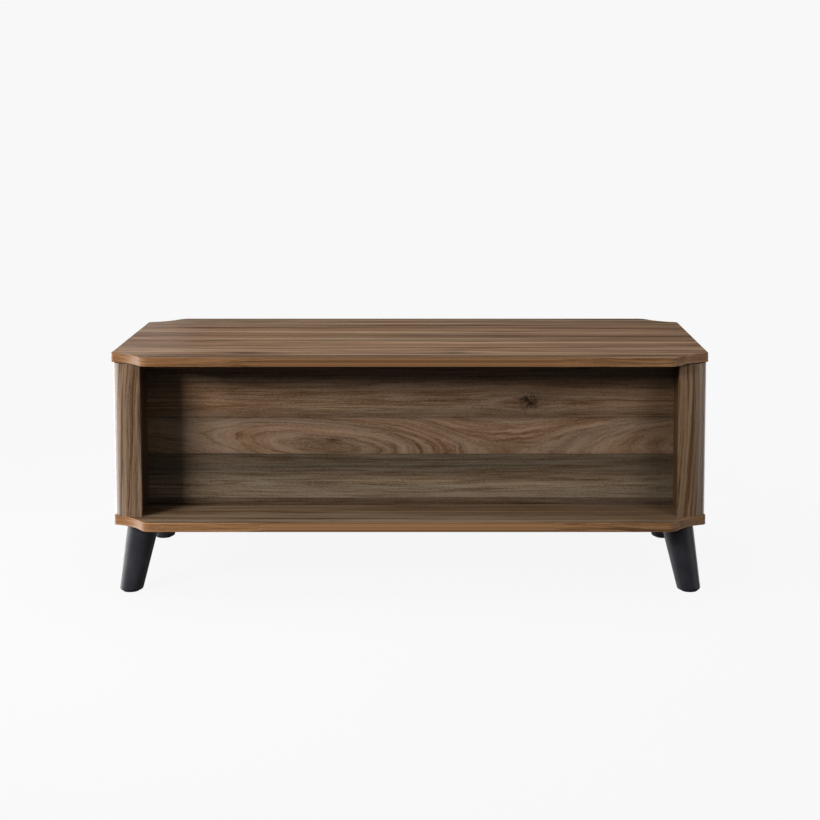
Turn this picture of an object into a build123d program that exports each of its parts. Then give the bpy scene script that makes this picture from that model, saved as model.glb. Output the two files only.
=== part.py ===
"""Lift-top coffee table, as an assembly of separate pieces.

Millimetres. +X runs along the table to the right, +Y to the back, +Z up. The origin is on the
floor, under the middle of the table. The open shelf faces the front, -Y.
The top rides on two parallelogram linkages, one against each inner side board. It stays level
as it rises, and it comes forward over the front shelf.
"""

import os
from math import atan2, cos, degrees, hypot, radians, sin, sqrt

from build123d import *

# Overall size.
TABLE_WIDTH = 1050.0
TABLE_DEPTH = 500.0
TABLE_HEIGHT = 430.0

# Boards.
PANEL_THICKNESS = 16.0
BOARD_THICKNESS = 15.0
EDGE_BAND_THICKNESS = 1.0
EDGE_BAND_ROUNDING = 0.6
LID_GAP = 2.0

# The cut corner of the top and bottom panels: a cove between two tips, each tip rounded.
CORNER_CUT_X = 60.0
CORNER_CUT_Y = 51.5
COVE_RADIUS = 83.0
SIDE_TIP_RADIUS = 9.0
END_TIP_RADIUS = 24.0
BOTTOM_INSET = 1.0

# Side walls, each a bent outer wrap with a flat inner board.
WRAP_INSET = 1.0
WRAP_SETBACK = 44.0
WRAP_THICKNESS = 12.0
WRAP_CORNER_RADIUS = 30.0
WRAP_RETURN_WIDTH = 51.5
WRAP_END_ROUNDING = 1.5
INNER_SIDE_REVEAL = 4.0
BATTEN_HEIGHT = 40.0

# The shelf's rear wall, set back from the front edge of the top.
PARTITION_SETBACK = 134.0

# Legs: tapered and splayed outwards to the corners.
LEG_HEIGHT = 123.0
LEG_FOOT_X = 498.5
LEG_FOOT_Y = 182.0
LEG_SPLAY = 21.7
LEG_FOOT_RADIUS = 20.5
LEG_TOP_RADIUS = 29.0
LEG_FOOT_ROUNDING = 3.5
LEG_PLATE_SIZE = 62.0
LEG_PLATE_THICKNESS = 2.5
LEG_PLATE_CORNER = 6.0
LEG_PLATE_SCREW_OFFSET = 25.0
GLIDE_RADIUS = 15.5
GLIDE_THICKNESS = 2.5
HANGER_BOLT_RADIUS = 4.0

# Linkage, in the plane of a side wall: (y, z) of the pivots and the angles from +Y towards +Z.
ARM_LENGTH = 180.0
ARM_REST_ANGLE = 5.0
ARM_TRAVEL = 115.0
MAIN_PIVOT = (-60.0, 380.0)
REAR_PIVOT = (-18.0, 358.0)
MAIN_ARM_WIDTH = 24.0
REAR_ARM_WIDTH = 20.0
CRANK_LENGTH = 22.0
CRANK_REST_ANGLE = 205.0
CRANK_WIDTH = 16.0
SPRING_ANCHOR = (130.0, 343.0)
SYNC_BAR_FROM_PIVOT = 60.0
SYNC_BAR_RADIUS = 8.0
SYNC_BAR_WALL = 1.5

# Linkage layers, counted inwards from the face of the inner side board.
PLATE_THICKNESS = 2.5
ARM_THICKNESS = 3.0
LAYER_GAP = 1.0
WASHER_SLACK = 0.2
SPRING_FROM_BRACKET = 14.5

# Pins, bushes and springs.
PIN_RADIUS = 4.0
PIN_HEAD_RADIUS = 7.0
PIN_HEAD_THICKNESS = 1.8
RUNNING_CLEARANCE = 0.06
SEATED_CLEARANCE = 0.02
OPEN_PIVOT_CLEARANCE = 0.3
BUSH_RADIUS = 7.0
STUD_RADIUS = 3.0
SPRING_RADIUS = 8.0
SPRING_WIRE_RADIUS = 1.4
SPRING_LOOP_RADIUS = 5.0
SPRING_HOOK_LENGTH = 18.0

# Screws and knock-down fittings.
SCREW_RADIUS = 2.0
SCREW_HEAD_RADIUS = 4.0
SCREW_HEAD_HEIGHT = 2.0
RECESS_DEPTH = 1.2
CAM_RADIUS = 7.5
CAM_DEPTH = 12.0
CAM_FROM_EDGE = 34.0
CAM_BOLT_RADIUS = 3.0
CAM_BOLT_SEAT = 10.0
CAM_BOLT_GRIP = 3.0
DOWEL_RADIUS = 4.0
DOWEL_LENGTH = 28.0
BASE_SCREW_RADIUS = 2.5
BASE_SCREW_HEAD_RADIUS = 5.0
BASE_SCREW_LENGTH = 48.0
BUMPER_RADIUS = 5.0
BUMPER_CLEARANCE = 0.3

# Levels and faces that follow from the driving sizes.
BOTTOM_TOP_Z = LEG_HEIGHT + PANEL_THICKNESS
LID_UNDERSIDE_Z = TABLE_HEIGHT - PANEL_THICKNESS
CARCASS_TOP_Z = LID_UNDERSIDE_Z - LID_GAP
CARCASS_HEIGHT = CARCASS_TOP_Z - BOTTOM_TOP_Z
WRAP_OUTER_X = TABLE_WIDTH / 2 - WRAP_INSET
WRAP_OUTER_Y = TABLE_DEPTH / 2 - WRAP_SETBACK
WRAP_END_X = WRAP_OUTER_X - WRAP_RETURN_WIDTH
WRAP_INNER_X = WRAP_OUTER_X - WRAP_THICKNESS
BOARD_END_Y = WRAP_OUTER_Y - WRAP_THICKNESS
INNER_SIDE_X = WRAP_END_X + INNER_SIDE_REVEAL
INNER_SIDE_BACK_X = INNER_SIDE_X + BOARD_THICKNESS
PARTITION_FRONT_Y = PARTITION_SETBACK - TABLE_DEPTH / 2
PARTITION_BACK_Y = PARTITION_FRONT_Y + BOARD_THICKNESS
BACK_FRONT_Y = BOARD_END_Y - BOARD_THICKNESS
LEG_TOP_Z = LEG_HEIGHT - LEG_PLATE_THICKNESS

# Linkage layers as distances from the table's middle plane, each at its inner face.
BASE_PLATE_X = INNER_SIDE_X - PLATE_THICKNESS
REAR_ARM_X = BASE_PLATE_X - LAYER_GAP - ARM_THICKNESS
MAIN_ARM_X = REAR_ARM_X - LAYER_GAP - ARM_THICKNESS
TOP_FLANGE_X = MAIN_ARM_X - LAYER_GAP - PLATE_THICKNESS
SPRING_X = TOP_FLANGE_X - SPRING_FROM_BRACKET

BOTTOM_MIN = (Align.CENTER, Align.CENTER, Align.MIN)


def polar(centre, length, angle):
    """A point at a length and an angle, in degrees, from a centre in the (y, z) plane."""
    return (centre[0] + length * cos(radians(angle)), centre[1] + length * sin(radians(angle)))


MAIN_TIP = polar(MAIN_PIVOT, ARM_LENGTH, ARM_REST_ANGLE)
REAR_TIP = polar(REAR_PIVOT, ARM_LENGTH, ARM_REST_ANGLE)
CRANK_TIP = polar(MAIN_PIVOT, CRANK_LENGTH, CRANK_REST_ANGLE)
SYNC_BAR_AT = polar(MAIN_PIVOT, SYNC_BAR_FROM_PIVOT, ARM_REST_ANGLE)

node_shapes = {}


def add(name, shape):
    """Keep a shape, or a list of separate solids, as one node."""
    if isinstance(shape, list):
        shape = Compound(children=shape)
    node_shapes[name] = shape


def box_between(low, high):
    """A box from its lowest to its highest corner."""
    size = [high[i] - low[i] for i in range(3)]
    middle = [(high[i] + low[i]) / 2 for i in range(3)]
    return Pos(*middle) * Box(*size)


def rod(start, end, radius):
    """A round rod from one point to another."""
    run = Vector(*end) - Vector(*start)
    return Plane(origin=start, z_dir=run) * Cylinder(radius, run.length, align=BOTTOM_MIN)


def rod_along_x(point, x_low, x_high, radius):
    """A round rod parallel to X at a (y, z) point."""
    return rod((x_low, *point), (x_high, *point), radius)


def plate_along_x(outline, x_low, thickness):
    """A flat plate: an outline drawn in (y, z), given a thickness along +X."""
    return extrude(Plane.YZ.offset(x_low) * outline, thickness)


def link_outline(start, end, width):
    """The round-ended outline of a flat link between two (y, z) points."""
    length = hypot(end[0] - start[0], end[1] - start[1])
    angle = degrees(atan2(end[1] - start[1], end[0] - start[0]))
    middle = ((start[0] + end[0]) / 2, (start[1] + end[1]) / 2)
    return Pos(*middle) * Rot(0, 0, angle) * SlotCenterToCenter(length, width)


def mirrored(shape):
    """The same piece for the left side."""
    return mirror(shape, Plane.YZ)


def add_pair(name, shape):
    """Keep a piece of the right side, and its mirror image on the left."""
    add(name + "_right", shape)
    add(name + "_left", mirrored(shape))


def countersunk_screw(head_centre, direction, length, radius=SCREW_RADIUS,
                      head_radius=SCREW_HEAD_RADIUS, head_height=SCREW_HEAD_HEIGHT):
    """A screw whose flat head lies at head_centre and whose shank runs along a direction."""
    seat = Plane(origin=head_centre, z_dir=direction)
    head = seat * Cone(head_radius, radius, head_height, align=BOTTOM_MIN)
    shank = seat * Cylinder(radius, length, align=BOTTOM_MIN)
    tip = seat * Pos(0, 0, length) * Cone(radius, radius / 4, radius * 2, align=BOTTOM_MIN)
    return head + shank + tip


def recessed(screw, head_point, direction, head_radius=SCREW_HEAD_RADIUS):
    """The same screw with a driver's cross cut into the face of its head."""
    face = Plane(origin=head_point, z_dir=direction)
    for turn in (0, 90):
        screw -= face * Rot(0, 0, turn) * Box(head_radius * 1.1, head_radius * 0.28, RECESS_DEPTH * 2)
    return screw


def pan_head_screw(seat_point, direction, length):
    """A screw whose domed head stands on a seat and whose shank runs along a direction."""
    seat = Plane(origin=seat_point, z_dir=direction)
    head = Cylinder(SCREW_HEAD_RADIUS, SCREW_HEAD_HEIGHT, align=BOTTOM_MIN)
    head = fillet(head.edges().sort_by(Axis.Z)[-1:], SCREW_HEAD_HEIGHT * 0.6)
    shank = seat * Cylinder(SCREW_RADIUS, length, align=BOTTOM_MIN)
    away = Plane(origin=seat_point, z_dir=-seat.z_dir)
    return away * head + shank


# ---------------------------------------------------------------- panels with cut corners


def panel_plan(inset):
    """The outline of the top, moved inwards by an inset, with its four coved corners."""
    chord = hypot(CORNER_CUT_X, CORNER_CUT_Y)
    centre_off_chord = sqrt(COVE_RADIUS**2 - (chord / 2) ** 2)
    cove_x = (TABLE_WIDTH - CORNER_CUT_X) / 2 + centre_off_chord * CORNER_CUT_Y / chord
    cove_y = (TABLE_DEPTH - CORNER_CUT_Y) / 2 + centre_off_chord * CORNER_CUT_X / chord
    half_width = TABLE_WIDTH / 2 - inset
    half_depth = TABLE_DEPTH / 2 - inset
    plan = Rectangle(2 * half_width, 2 * half_depth)
    for side in (-1, 1):
        for end in (-1, 1):
            plan -= Pos(side * cove_x, end * cove_y) * Circle(COVE_RADIUS + inset)
    end_tips = plan.vertices().filter_by(lambda tip: abs(abs(tip.Y) - half_depth) < 0.01)
    plan = fillet(end_tips, END_TIP_RADIUS - inset)
    side_tips = plan.vertices().filter_by(lambda tip: abs(abs(tip.X) - half_width) < 0.01)
    return fillet(side_tips, SIDE_TIP_RADIUS - inset)


def banded_panel(inset, base_z):
    """A panel and the thin band round its edge."""
    inner_plan = panel_plan(inset + EDGE_BAND_THICKNESS)
    panel = extrude(Pos(0, 0, base_z) * inner_plan, PANEL_THICKNESS)
    blank = extrude(Pos(0, 0, base_z) * panel_plan(inset), PANEL_THICKNESS)
    rims = [blank.faces().sort_by(Axis.Z)[end].edges() for end in (0, -1)]
    blank = fillet(rims[0] + rims[1], EDGE_BAND_ROUNDING)
    return panel, blank - panel


tabletop, tabletop_band = banded_panel(0.0, LID_UNDERSIDE_Z)
bottom_panel, bottom_band = banded_panel(BOTTOM_INSET, LEG_HEIGHT)
add("tabletop_edge_band", tabletop_band)
add("bottom_edge_band", bottom_band)

# ---------------------------------------------------------------- side walls, partition, back


def side_wrap():
    """The right outer wrap: one bent board that returns round both corners."""
    outer = RectangleRounded(2 * WRAP_OUTER_X, 2 * WRAP_OUTER_Y, WRAP_CORNER_RADIUS)
    inner_radius = WRAP_CORNER_RADIUS - WRAP_THICKNESS
    inner = RectangleRounded(2 * WRAP_INNER_X, 2 * BOARD_END_Y, inner_radius)
    keep = Pos(WRAP_END_X, 0) * Rectangle(
        2 * WRAP_RETURN_WIDTH, 3 * WRAP_OUTER_Y, align=(Align.MIN, Align.CENTER)
    )
    plan = (outer - inner) & keep
    ends = plan.vertices().filter_by_position(Axis.X, WRAP_END_X - 1, WRAP_END_X + 1)
    plan = fillet(ends, WRAP_END_ROUNDING)
    return extrude(Pos(0, 0, BOTTOM_TOP_Z) * plan, CARCASS_HEIGHT)


add_pair("side_wrap", side_wrap())

inner_side = box_between(
    (INNER_SIDE_X, -BOARD_END_Y, BOTTOM_TOP_Z), (INNER_SIDE_BACK_X, BOARD_END_Y, CARCASS_TOP_Z)
)
partition = box_between(
    (-INNER_SIDE_X, PARTITION_FRONT_Y, BOTTOM_TOP_Z),
    (INNER_SIDE_X, PARTITION_BACK_Y, CARCASS_TOP_Z),
)
back_panel = box_between(
    (-INNER_SIDE_X, BACK_FRONT_Y, BOTTOM_TOP_Z), (INNER_SIDE_X, BOARD_END_Y, CARCASS_TOP_Z)
)

BATTEN_END_Y = BOARD_END_Y - WRAP_CORNER_RADIUS
batten_levels = {"lower": BOTTOM_TOP_Z, "upper": CARCASS_TOP_Z - BATTEN_HEIGHT}
battens = {
    level: box_between(
        (INNER_SIDE_BACK_X, -BATTEN_END_Y, base),
        (WRAP_INNER_X, BATTEN_END_Y, base + BATTEN_HEIGHT),
    )
    for level, base in batten_levels.items()
}
add_pair("side_batten_upper", battens["upper"])

# Screws that come up through the bottom panel into the lower battens.
BATTEN_X = (INNER_SIDE_BACK_X + WRAP_INNER_X) / 2
BASE_SCREW_YS = (-120.0, 0.0, 120.0)
base_screws = []
for side in (-1, 1):
    for y in BASE_SCREW_YS:
        screw_at = (side * BATTEN_X, y, LEG_HEIGHT)
        screw = countersunk_screw(
            screw_at, (0, 0, 1), BASE_SCREW_LENGTH, BASE_SCREW_RADIUS, BASE_SCREW_HEAD_RADIUS,
            BASE_SCREW_RADIUS,
        )
        base_screws.append(recessed(screw, screw_at, (0, 0, 1), BASE_SCREW_HEAD_RADIUS))
        bottom_panel -= screw
        if side > 0:
            battens["lower"] -= screw
add("base_screws", base_screws)
add_pair("side_batten_lower", battens["lower"])

# ---------------------------------------------------------------- knock-down fittings

# Each cam joint: a cam sunk in the face of one board pulls a bolt seated in the board beside it.
cams = []
cam_bolts = []
dowels = []


def cam_joint(board, bolt_from, bolt_direction, face_direction, neighbour):
    """Cut a cam and its bolt into a board and its neighbour, and keep the two fittings."""
    start = Vector(*bolt_from)
    along = Vector(*bolt_direction)
    out_of_face = Vector(*face_direction)
    cam_centre = start + along * CAM_FROM_EDGE
    face_point = cam_centre + out_of_face * (BOARD_THICKNESS / 2)
    floor_point = face_point - out_of_face * CAM_DEPTH
    cam = rod(tuple(floor_point), tuple(face_point), CAM_RADIUS)
    slot = Plane(origin=tuple(face_point), z_dir=out_of_face)
    for turn in (0, 90):
        cam -= slot * Rot(0, 0, turn) * Box(CAM_RADIUS * 1.2, 1.5, 5.0)
    bolt_tip = start - along * CAM_BOLT_SEAT
    bolt_head = start + along * (CAM_FROM_EDGE - CAM_BOLT_GRIP)
    bolt = rod(tuple(bolt_tip), tuple(bolt_head), CAM_BOLT_RADIUS)
    cams.append(cam - bolt)
    cam_bolts.append(bolt)
    seat = rod(tuple(floor_point), tuple(face_point), CAM_RADIUS)
    return board - seat - bolt, neighbour - bolt


def dowel_joint(board, at, direction, neighbour):
    """Cut one dowel half into a board and half into its neighbour, and keep the dowel."""
    middle = Vector(*at)
    half = Vector(*direction) * (DOWEL_LENGTH / 2)
    shift = Vector(*direction) * (DOWEL_LENGTH / 2 - CAM_BOLT_SEAT)
    dowel = rod(tuple(middle - half + shift), tuple(middle + half + shift), DOWEL_RADIUS)
    dowels.append(dowel)
    return board - dowel, neighbour - dowel


PARTITION_MIDDLE_Y = (PARTITION_FRONT_Y + PARTITION_BACK_Y) / 2
BACK_MIDDLE_Y = (BACK_FRONT_Y + BOARD_END_Y) / 2
INNER_SIDE_MIDDLE_X = (INNER_SIDE_X + INNER_SIDE_BACK_X) / 2
LONG_CAM_XS = (-350.0, 0.0, 350.0)
LONG_DOWEL_XS = (-420.0, -175.0, 175.0, 420.0)
SIDE_CAM_YS = (-40.0, 120.0)
SIDE_DOWEL_YS = (-150.0, 40.0)
CORNER_CAM_ZS = (190.0, 300.0)
CORNER_DOWEL_Z = 245.0

for x in LONG_CAM_XS:
    partition, bottom_panel = cam_joint(
        partition, (x, PARTITION_MIDDLE_Y, BOTTOM_TOP_Z), (0, 0, 1), (0, 1, 0), bottom_panel)
    back_panel, bottom_panel = cam_joint(
        back_panel, (x, BACK_MIDDLE_Y, BOTTOM_TOP_Z), (0, 0, 1), (0, -1, 0), bottom_panel)
for x in LONG_DOWEL_XS:
    partition, bottom_panel = dowel_joint(
        partition, (x, PARTITION_MIDDLE_Y, BOTTOM_TOP_Z), (0, 0, 1), bottom_panel)
    back_panel, bottom_panel = dowel_joint(
        back_panel, (x, BACK_MIDDLE_Y, BOTTOM_TOP_Z), (0, 0, 1), bottom_panel)

inner_sides = {1: inner_side, -1: mirrored(inner_side)}
for side, board in inner_sides.items():
    board_x = side * INNER_SIDE_MIDDLE_X
    joint_x = side * INNER_SIDE_X
    for y in SIDE_CAM_YS:
        board, bottom_panel = cam_joint(
            board, (board_x, y, BOTTOM_TOP_Z), (0, 0, 1), (-side, 0, 0), bottom_panel)
    for y in SIDE_DOWEL_YS:
        board, bottom_panel = dowel_joint(
            board, (board_x, y, BOTTOM_TOP_Z), (0, 0, 1), bottom_panel)
    for z in CORNER_CAM_ZS:
        partition, board = cam_joint(
            partition, (joint_x, PARTITION_MIDDLE_Y, z), (-side, 0, 0), (0, 1, 0), board)
        back_panel, board = cam_joint(
            back_panel, (joint_x, BACK_MIDDLE_Y, z), (-side, 0, 0), (0, -1, 0), board)
    partition, board = dowel_joint(
        partition, (joint_x, PARTITION_MIDDLE_Y, CORNER_DOWEL_Z), (-side, 0, 0), board)
    back_panel, board = dowel_joint(
        back_panel, (joint_x, BACK_MIDDLE_Y, CORNER_DOWEL_Z), (-side, 0, 0), board)
    inner_sides[side] = board
add("cam_locks", cams)
add("cam_bolts", cam_bolts)
add("dowels", dowels)
add("partition", partition)
add("back_panel", back_panel)

# ---------------------------------------------------------------- legs


def leg_axis_point(side, end, z):
    """The point of a leg's centre line at a height."""
    rise = z / LEG_HEIGHT
    return (side * (LEG_FOOT_X - LEG_SPLAY * rise), end * (LEG_FOOT_Y - LEG_SPLAY * rise), z)


def leg_radius(z):
    """The radius of a leg at a height."""
    return LEG_FOOT_RADIUS + (LEG_TOP_RADIUS - LEG_FOOT_RADIUS) * z / LEG_HEIGHT


HANGER_BOLT_LOW_Z = 85.0
HANGER_BOLT_HIGH_Z = LEG_HEIGHT + 8.0
GLIDE_NAIL_RADIUS = 1.5
GLIDE_NAIL_HIGH_Z = 16.0
LEG_SCREW_LENGTH = 12.0

hanger_bolts = []
leg_screws = []
for end, end_name in ((-1, "front"), (1, "back")):
    for side, side_name in ((-1, "left"), (1, "right")):
        corner_name = end_name + "_" + side_name
        sections = [
            Pos(*leg_axis_point(side, end, z)) * Circle(leg_radius(z))
            for z in (GLIDE_THICKNESS, LEG_TOP_Z)
        ]
        leg = loft(sections)
        leg = fillet(leg.edges().sort_by(Axis.Z)[:1], LEG_FOOT_ROUNDING)

        bolt = rod(
            leg_axis_point(side, end, HANGER_BOLT_LOW_Z),
            leg_axis_point(side, end, HANGER_BOLT_HIGH_Z),
            HANGER_BOLT_RADIUS,
        )
        hanger_bolts.append(bolt)
        bottom_panel -= bolt

        foot_x, foot_y, _ = leg_axis_point(side, end, 0)
        glide = Pos(foot_x, foot_y, 0) * Cylinder(GLIDE_RADIUS, GLIDE_THICKNESS, align=BOTTOM_MIN)
        glide = chamfer(glide.edges().sort_by(Axis.Z)[:1], GLIDE_THICKNESS / 3)
        glide += rod((foot_x, foot_y, 0.5), (foot_x, foot_y, GLIDE_NAIL_HIGH_Z), GLIDE_NAIL_RADIUS)
        add("leg_" + corner_name, leg - bolt - glide)
        add("foot_glide_" + corner_name, glide)

        plate_x, plate_y, _ = leg_axis_point(side, end, LEG_HEIGHT)
        plate_plan = RectangleRounded(LEG_PLATE_SIZE, LEG_PLATE_SIZE, LEG_PLATE_CORNER)
        plate = extrude(Pos(plate_x, plate_y, LEG_TOP_Z) * plate_plan, LEG_PLATE_THICKNESS)
        for dx in (-1, 1):
            for dy in (-1, 1):
                screw_at = (
                    plate_x + dx * LEG_PLATE_SCREW_OFFSET,
                    plate_y + dy * LEG_PLATE_SCREW_OFFSET,
                    LEG_TOP_Z,
                )
                screw = countersunk_screw(screw_at, (0, 0, 1), LEG_SCREW_LENGTH)
                leg_screws.append(recessed(screw, screw_at, (0, 0, 1)))
                plate -= screw
                bottom_panel -= screw
        add("leg_plate_" + corner_name, plate - bolt)
add("leg_hanger_bolts", hanger_bolts)
add("leg_plate_screws", leg_screws)
add("bottom_panel", bottom_panel)

# ---------------------------------------------------------------- base bracket of the linkage

BRACKET_Y = (-82.0, 150.0)
BRACKET_Z = (326.0, 398.0)
BRACKET_CORNER = 10.0
BRACKET_SCREWS = ((-72.0, 336.0), (18.0, 336.0), (100.0, 336.0), (-72.0, 389.0), (132.0, 388.0))
BRACKET_SCREW_LENGTH = 11.0
STOP_ALONG_ARM = 30.0
STOP_RADIUS = 4.0
OPEN_ANGLE = ARM_REST_ANGLE + ARM_TRAVEL

# The stop stands just clear of the rear arm's front edge when the top is fully up.
STOP_FROM_ARM_LINE = REAR_ARM_WIDTH / 2 + STOP_RADIUS + 0.3
stop_foot = polar(REAR_PIVOT, STOP_ALONG_ARM, OPEN_ANGLE)
STOP_AT = polar(stop_foot, STOP_FROM_ARM_LINE, OPEN_ANGLE + 90)

bracket_plan = Pos((BRACKET_Y[0] + BRACKET_Y[1]) / 2, (BRACKET_Z[0] + BRACKET_Z[1]) / 2)
bracket_plan *= RectangleRounded(
    BRACKET_Y[1] - BRACKET_Y[0], BRACKET_Z[1] - BRACKET_Z[0], BRACKET_CORNER)
for at in (MAIN_PIVOT, REAR_PIVOT, SPRING_ANCHOR, STOP_AT):
    bracket_plan -= Pos(*at) * Circle(PIN_RADIUS + SEATED_CLEARANCE)
base_bracket = plate_along_x(bracket_plan, BASE_PLATE_X, PLATE_THICKNESS)

bracket_screws = []
for at in BRACKET_SCREWS:
    screw = countersunk_screw((BASE_PLATE_X, *at), (1, 0, 0), BRACKET_SCREW_LENGTH)
    bracket_screws.append(recessed(screw, (BASE_PLATE_X, *at), (1, 0, 0)))
    base_bracket -= screw
    inner_sides[1] -= screw
    inner_sides[-1] -= mirrored(screw)
add_pair("base_bracket", base_bracket)
add("inner_side_right", inner_sides[1])
add("inner_side_left", inner_sides[-1])
add("base_bracket_screws", bracket_screws + [mirrored(screw) for screw in bracket_screws])

# ---------------------------------------------------------------- arms and sync bar

RUNNING_HOLE = Circle(PIN_RADIUS + RUNNING_CLEARANCE)
SEATED_HOLE = Circle(PIN_RADIUS + SEATED_CLEARANCE)

main_arm_plan = link_outline(MAIN_PIVOT, MAIN_TIP, MAIN_ARM_WIDTH)
main_arm_plan += link_outline(MAIN_PIVOT, CRANK_TIP, CRANK_WIDTH)
main_arm_plan -= Pos(*MAIN_PIVOT) * RUNNING_HOLE
main_arm_plan -= Pos(*MAIN_TIP) * SEATED_HOLE
main_arm_plan -= Pos(*CRANK_TIP) * Circle(STUD_RADIUS + SEATED_CLEARANCE)
add_pair("main_arm", plate_along_x(main_arm_plan, MAIN_ARM_X, ARM_THICKNESS))

rear_arm_plan = link_outline(REAR_PIVOT, REAR_TIP, REAR_ARM_WIDTH)
rear_arm_plan -= Pos(*REAR_PIVOT) * RUNNING_HOLE
rear_arm_plan -= Pos(*REAR_TIP) * Circle(PIN_RADIUS + OPEN_PIVOT_CLEARANCE)
add_pair("rear_arm", plate_along_x(rear_arm_plan, REAR_ARM_X, ARM_THICKNESS))

sync_bar = rod_along_x(SYNC_BAR_AT, -MAIN_ARM_X, MAIN_ARM_X, SYNC_BAR_RADIUS)
sync_bar -= rod_along_x(SYNC_BAR_AT, -MAIN_ARM_X, MAIN_ARM_X, SYNC_BAR_RADIUS - SYNC_BAR_WALL)
add("sync_bar", sync_bar)

# ---------------------------------------------------------------- top brackets

TOP_BRACKET_Y = (-40.0, 176.0)
TOP_BRACKET_FLANGE = 30.0
TOP_BRACKET_RIB = 15.0
TOP_BRACKET_LUG = 26.0
TOP_BRACKET_SCREW_YS = (-22.0, 42.0, 106.0, 160.0)
TOP_SCREW_LENGTH = 14.0

rib = Pos((TOP_BRACKET_Y[0] + TOP_BRACKET_Y[1]) / 2, LID_UNDERSIDE_Z - TOP_BRACKET_RIB / 2)
rib *= Rectangle(TOP_BRACKET_Y[1] - TOP_BRACKET_Y[0], TOP_BRACKET_RIB)
lug_half = TOP_BRACKET_LUG / 2
lug_top = LID_UNDERSIDE_Z - TOP_BRACKET_RIB
lug = link_outline(MAIN_TIP, REAR_TIP, TOP_BRACKET_LUG)
web = make_face(Polyline(
    (MAIN_TIP[0] - lug_half, MAIN_TIP[1]), (REAR_TIP[0] + lug_half, REAR_TIP[1]),
    (REAR_TIP[0] + lug_half, lug_top), (MAIN_TIP[0] - lug_half, lug_top), close=True))
bracket_plan = rib + lug + web
bracket_plan -= Pos(*MAIN_TIP) * RUNNING_HOLE
bracket_plan -= Pos(*REAR_TIP) * SEATED_HOLE
top_bracket = plate_along_x(bracket_plan, TOP_FLANGE_X, PLATE_THICKNESS)
top_bracket += box_between(
    (TOP_FLANGE_X + PLATE_THICKNESS - TOP_BRACKET_FLANGE, TOP_BRACKET_Y[0],
     LID_UNDERSIDE_Z - PLATE_THICKNESS),
    (TOP_FLANGE_X + PLATE_THICKNESS, TOP_BRACKET_Y[1], LID_UNDERSIDE_Z),
)
top_screws = []
for y in TOP_BRACKET_SCREW_YS:
    screw_x = TOP_FLANGE_X + PLATE_THICKNESS - TOP_BRACKET_FLANGE / 2
    seat_z = LID_UNDERSIDE_Z - PLATE_THICKNESS
    screw = pan_head_screw((screw_x, y, seat_z), (0, 0, 1), TOP_SCREW_LENGTH)
    top_bracket -= screw
    tabletop = tabletop - screw - mirrored(screw)
    screw = recessed(screw, (screw_x, y, seat_z - SCREW_HEAD_HEIGHT), (0, 0, 1))
    top_screws += [screw, mirrored(screw)]
add_pair("top_bracket", top_bracket)
add("top_bracket_screws", top_screws)
add("tabletop", tabletop)

# ---------------------------------------------------------------- pivots, bushes and stops


def headed_pin(at, x_low, x_high, heads):
    """A pivot pin along X between two faces, with a thin head beyond each named end."""
    pin = rod_along_x(at, x_low, x_high, PIN_RADIUS)
    if "inner" in heads:
        pin += rod_along_x(at, x_low - PIN_HEAD_THICKNESS, x_low, PIN_HEAD_RADIUS)
    if "outer" in heads:
        pin += rod_along_x(at, x_high, x_high + PIN_HEAD_THICKNESS, PIN_HEAD_RADIUS)
    return pin


def bush(at, x_low, x_high):
    """A plastic spacer on a pivot pin, with a little end play."""
    ends = (x_low + WASHER_SLACK / 2, x_high - WASHER_SLACK / 2)
    tube = rod_along_x(at, *ends, BUSH_RADIUS)
    return tube - rod_along_x(at, *ends, PIN_RADIUS + RUNNING_CLEARANCE)


def both_sides(*shapes):
    """The shapes of the right side with their mirror images, as one group."""
    return [*shapes, *(mirrored(shape) for shape in shapes)]


HEAD_PLAY = 0.3
main_lower = headed_pin(MAIN_PIVOT, MAIN_ARM_X - HEAD_PLAY, INNER_SIDE_X, ("inner",))
rear_lower = headed_pin(REAR_PIVOT, REAR_ARM_X - HEAD_PLAY, INNER_SIDE_X, ("inner",))
add("lower_pivot_pins", both_sides(main_lower, rear_lower))

main_upper = headed_pin(
    MAIN_TIP, TOP_FLANGE_X - HEAD_PLAY, MAIN_ARM_X + ARM_THICKNESS, ("inner", "outer"))
add("upper_main_pivot_pins", both_sides(main_upper))

rear_upper = headed_pin(
    REAR_TIP, TOP_FLANGE_X, REAR_ARM_X + ARM_THICKNESS + HEAD_PLAY, ("outer",))
add("upper_rear_pivot_pins", both_sides(rear_upper))

add("lower_pivot_bushes", both_sides(
    bush(MAIN_PIVOT, MAIN_ARM_X + ARM_THICKNESS, BASE_PLATE_X),
    bush(REAR_PIVOT, REAR_ARM_X + ARM_THICKNESS, BASE_PLATE_X)))
add("upper_pivot_bushes", both_sides(
    bush(MAIN_TIP, TOP_FLANGE_X + PLATE_THICKNESS, MAIN_ARM_X),
    bush(REAR_TIP, TOP_FLANGE_X + PLATE_THICKNESS, REAR_ARM_X)))

stop_pin = rod_along_x(STOP_AT, REAR_ARM_X + HEAD_PLAY, INNER_SIDE_X, STOP_RADIUS)
add("limit_stop_pins", both_sides(stop_pin))

# ---------------------------------------------------------------- lift springs

STUD_TAIL = 7.0
anchor_stud = rod_along_x(SPRING_ANCHOR, BASE_PLATE_X, INNER_SIDE_X, PIN_RADIUS)
anchor_stud += rod_along_x(SPRING_ANCHOR, SPRING_X - STUD_TAIL, BASE_PLATE_X, STUD_RADIUS)
add("spring_anchor_studs", both_sides(anchor_stud))

crank_pin = rod_along_x(
    CRANK_TIP, SPRING_X - STUD_TAIL, MAIN_ARM_X + ARM_THICKNESS, STUD_RADIUS)
add("spring_crank_pins", both_sides(crank_pin))


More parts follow.
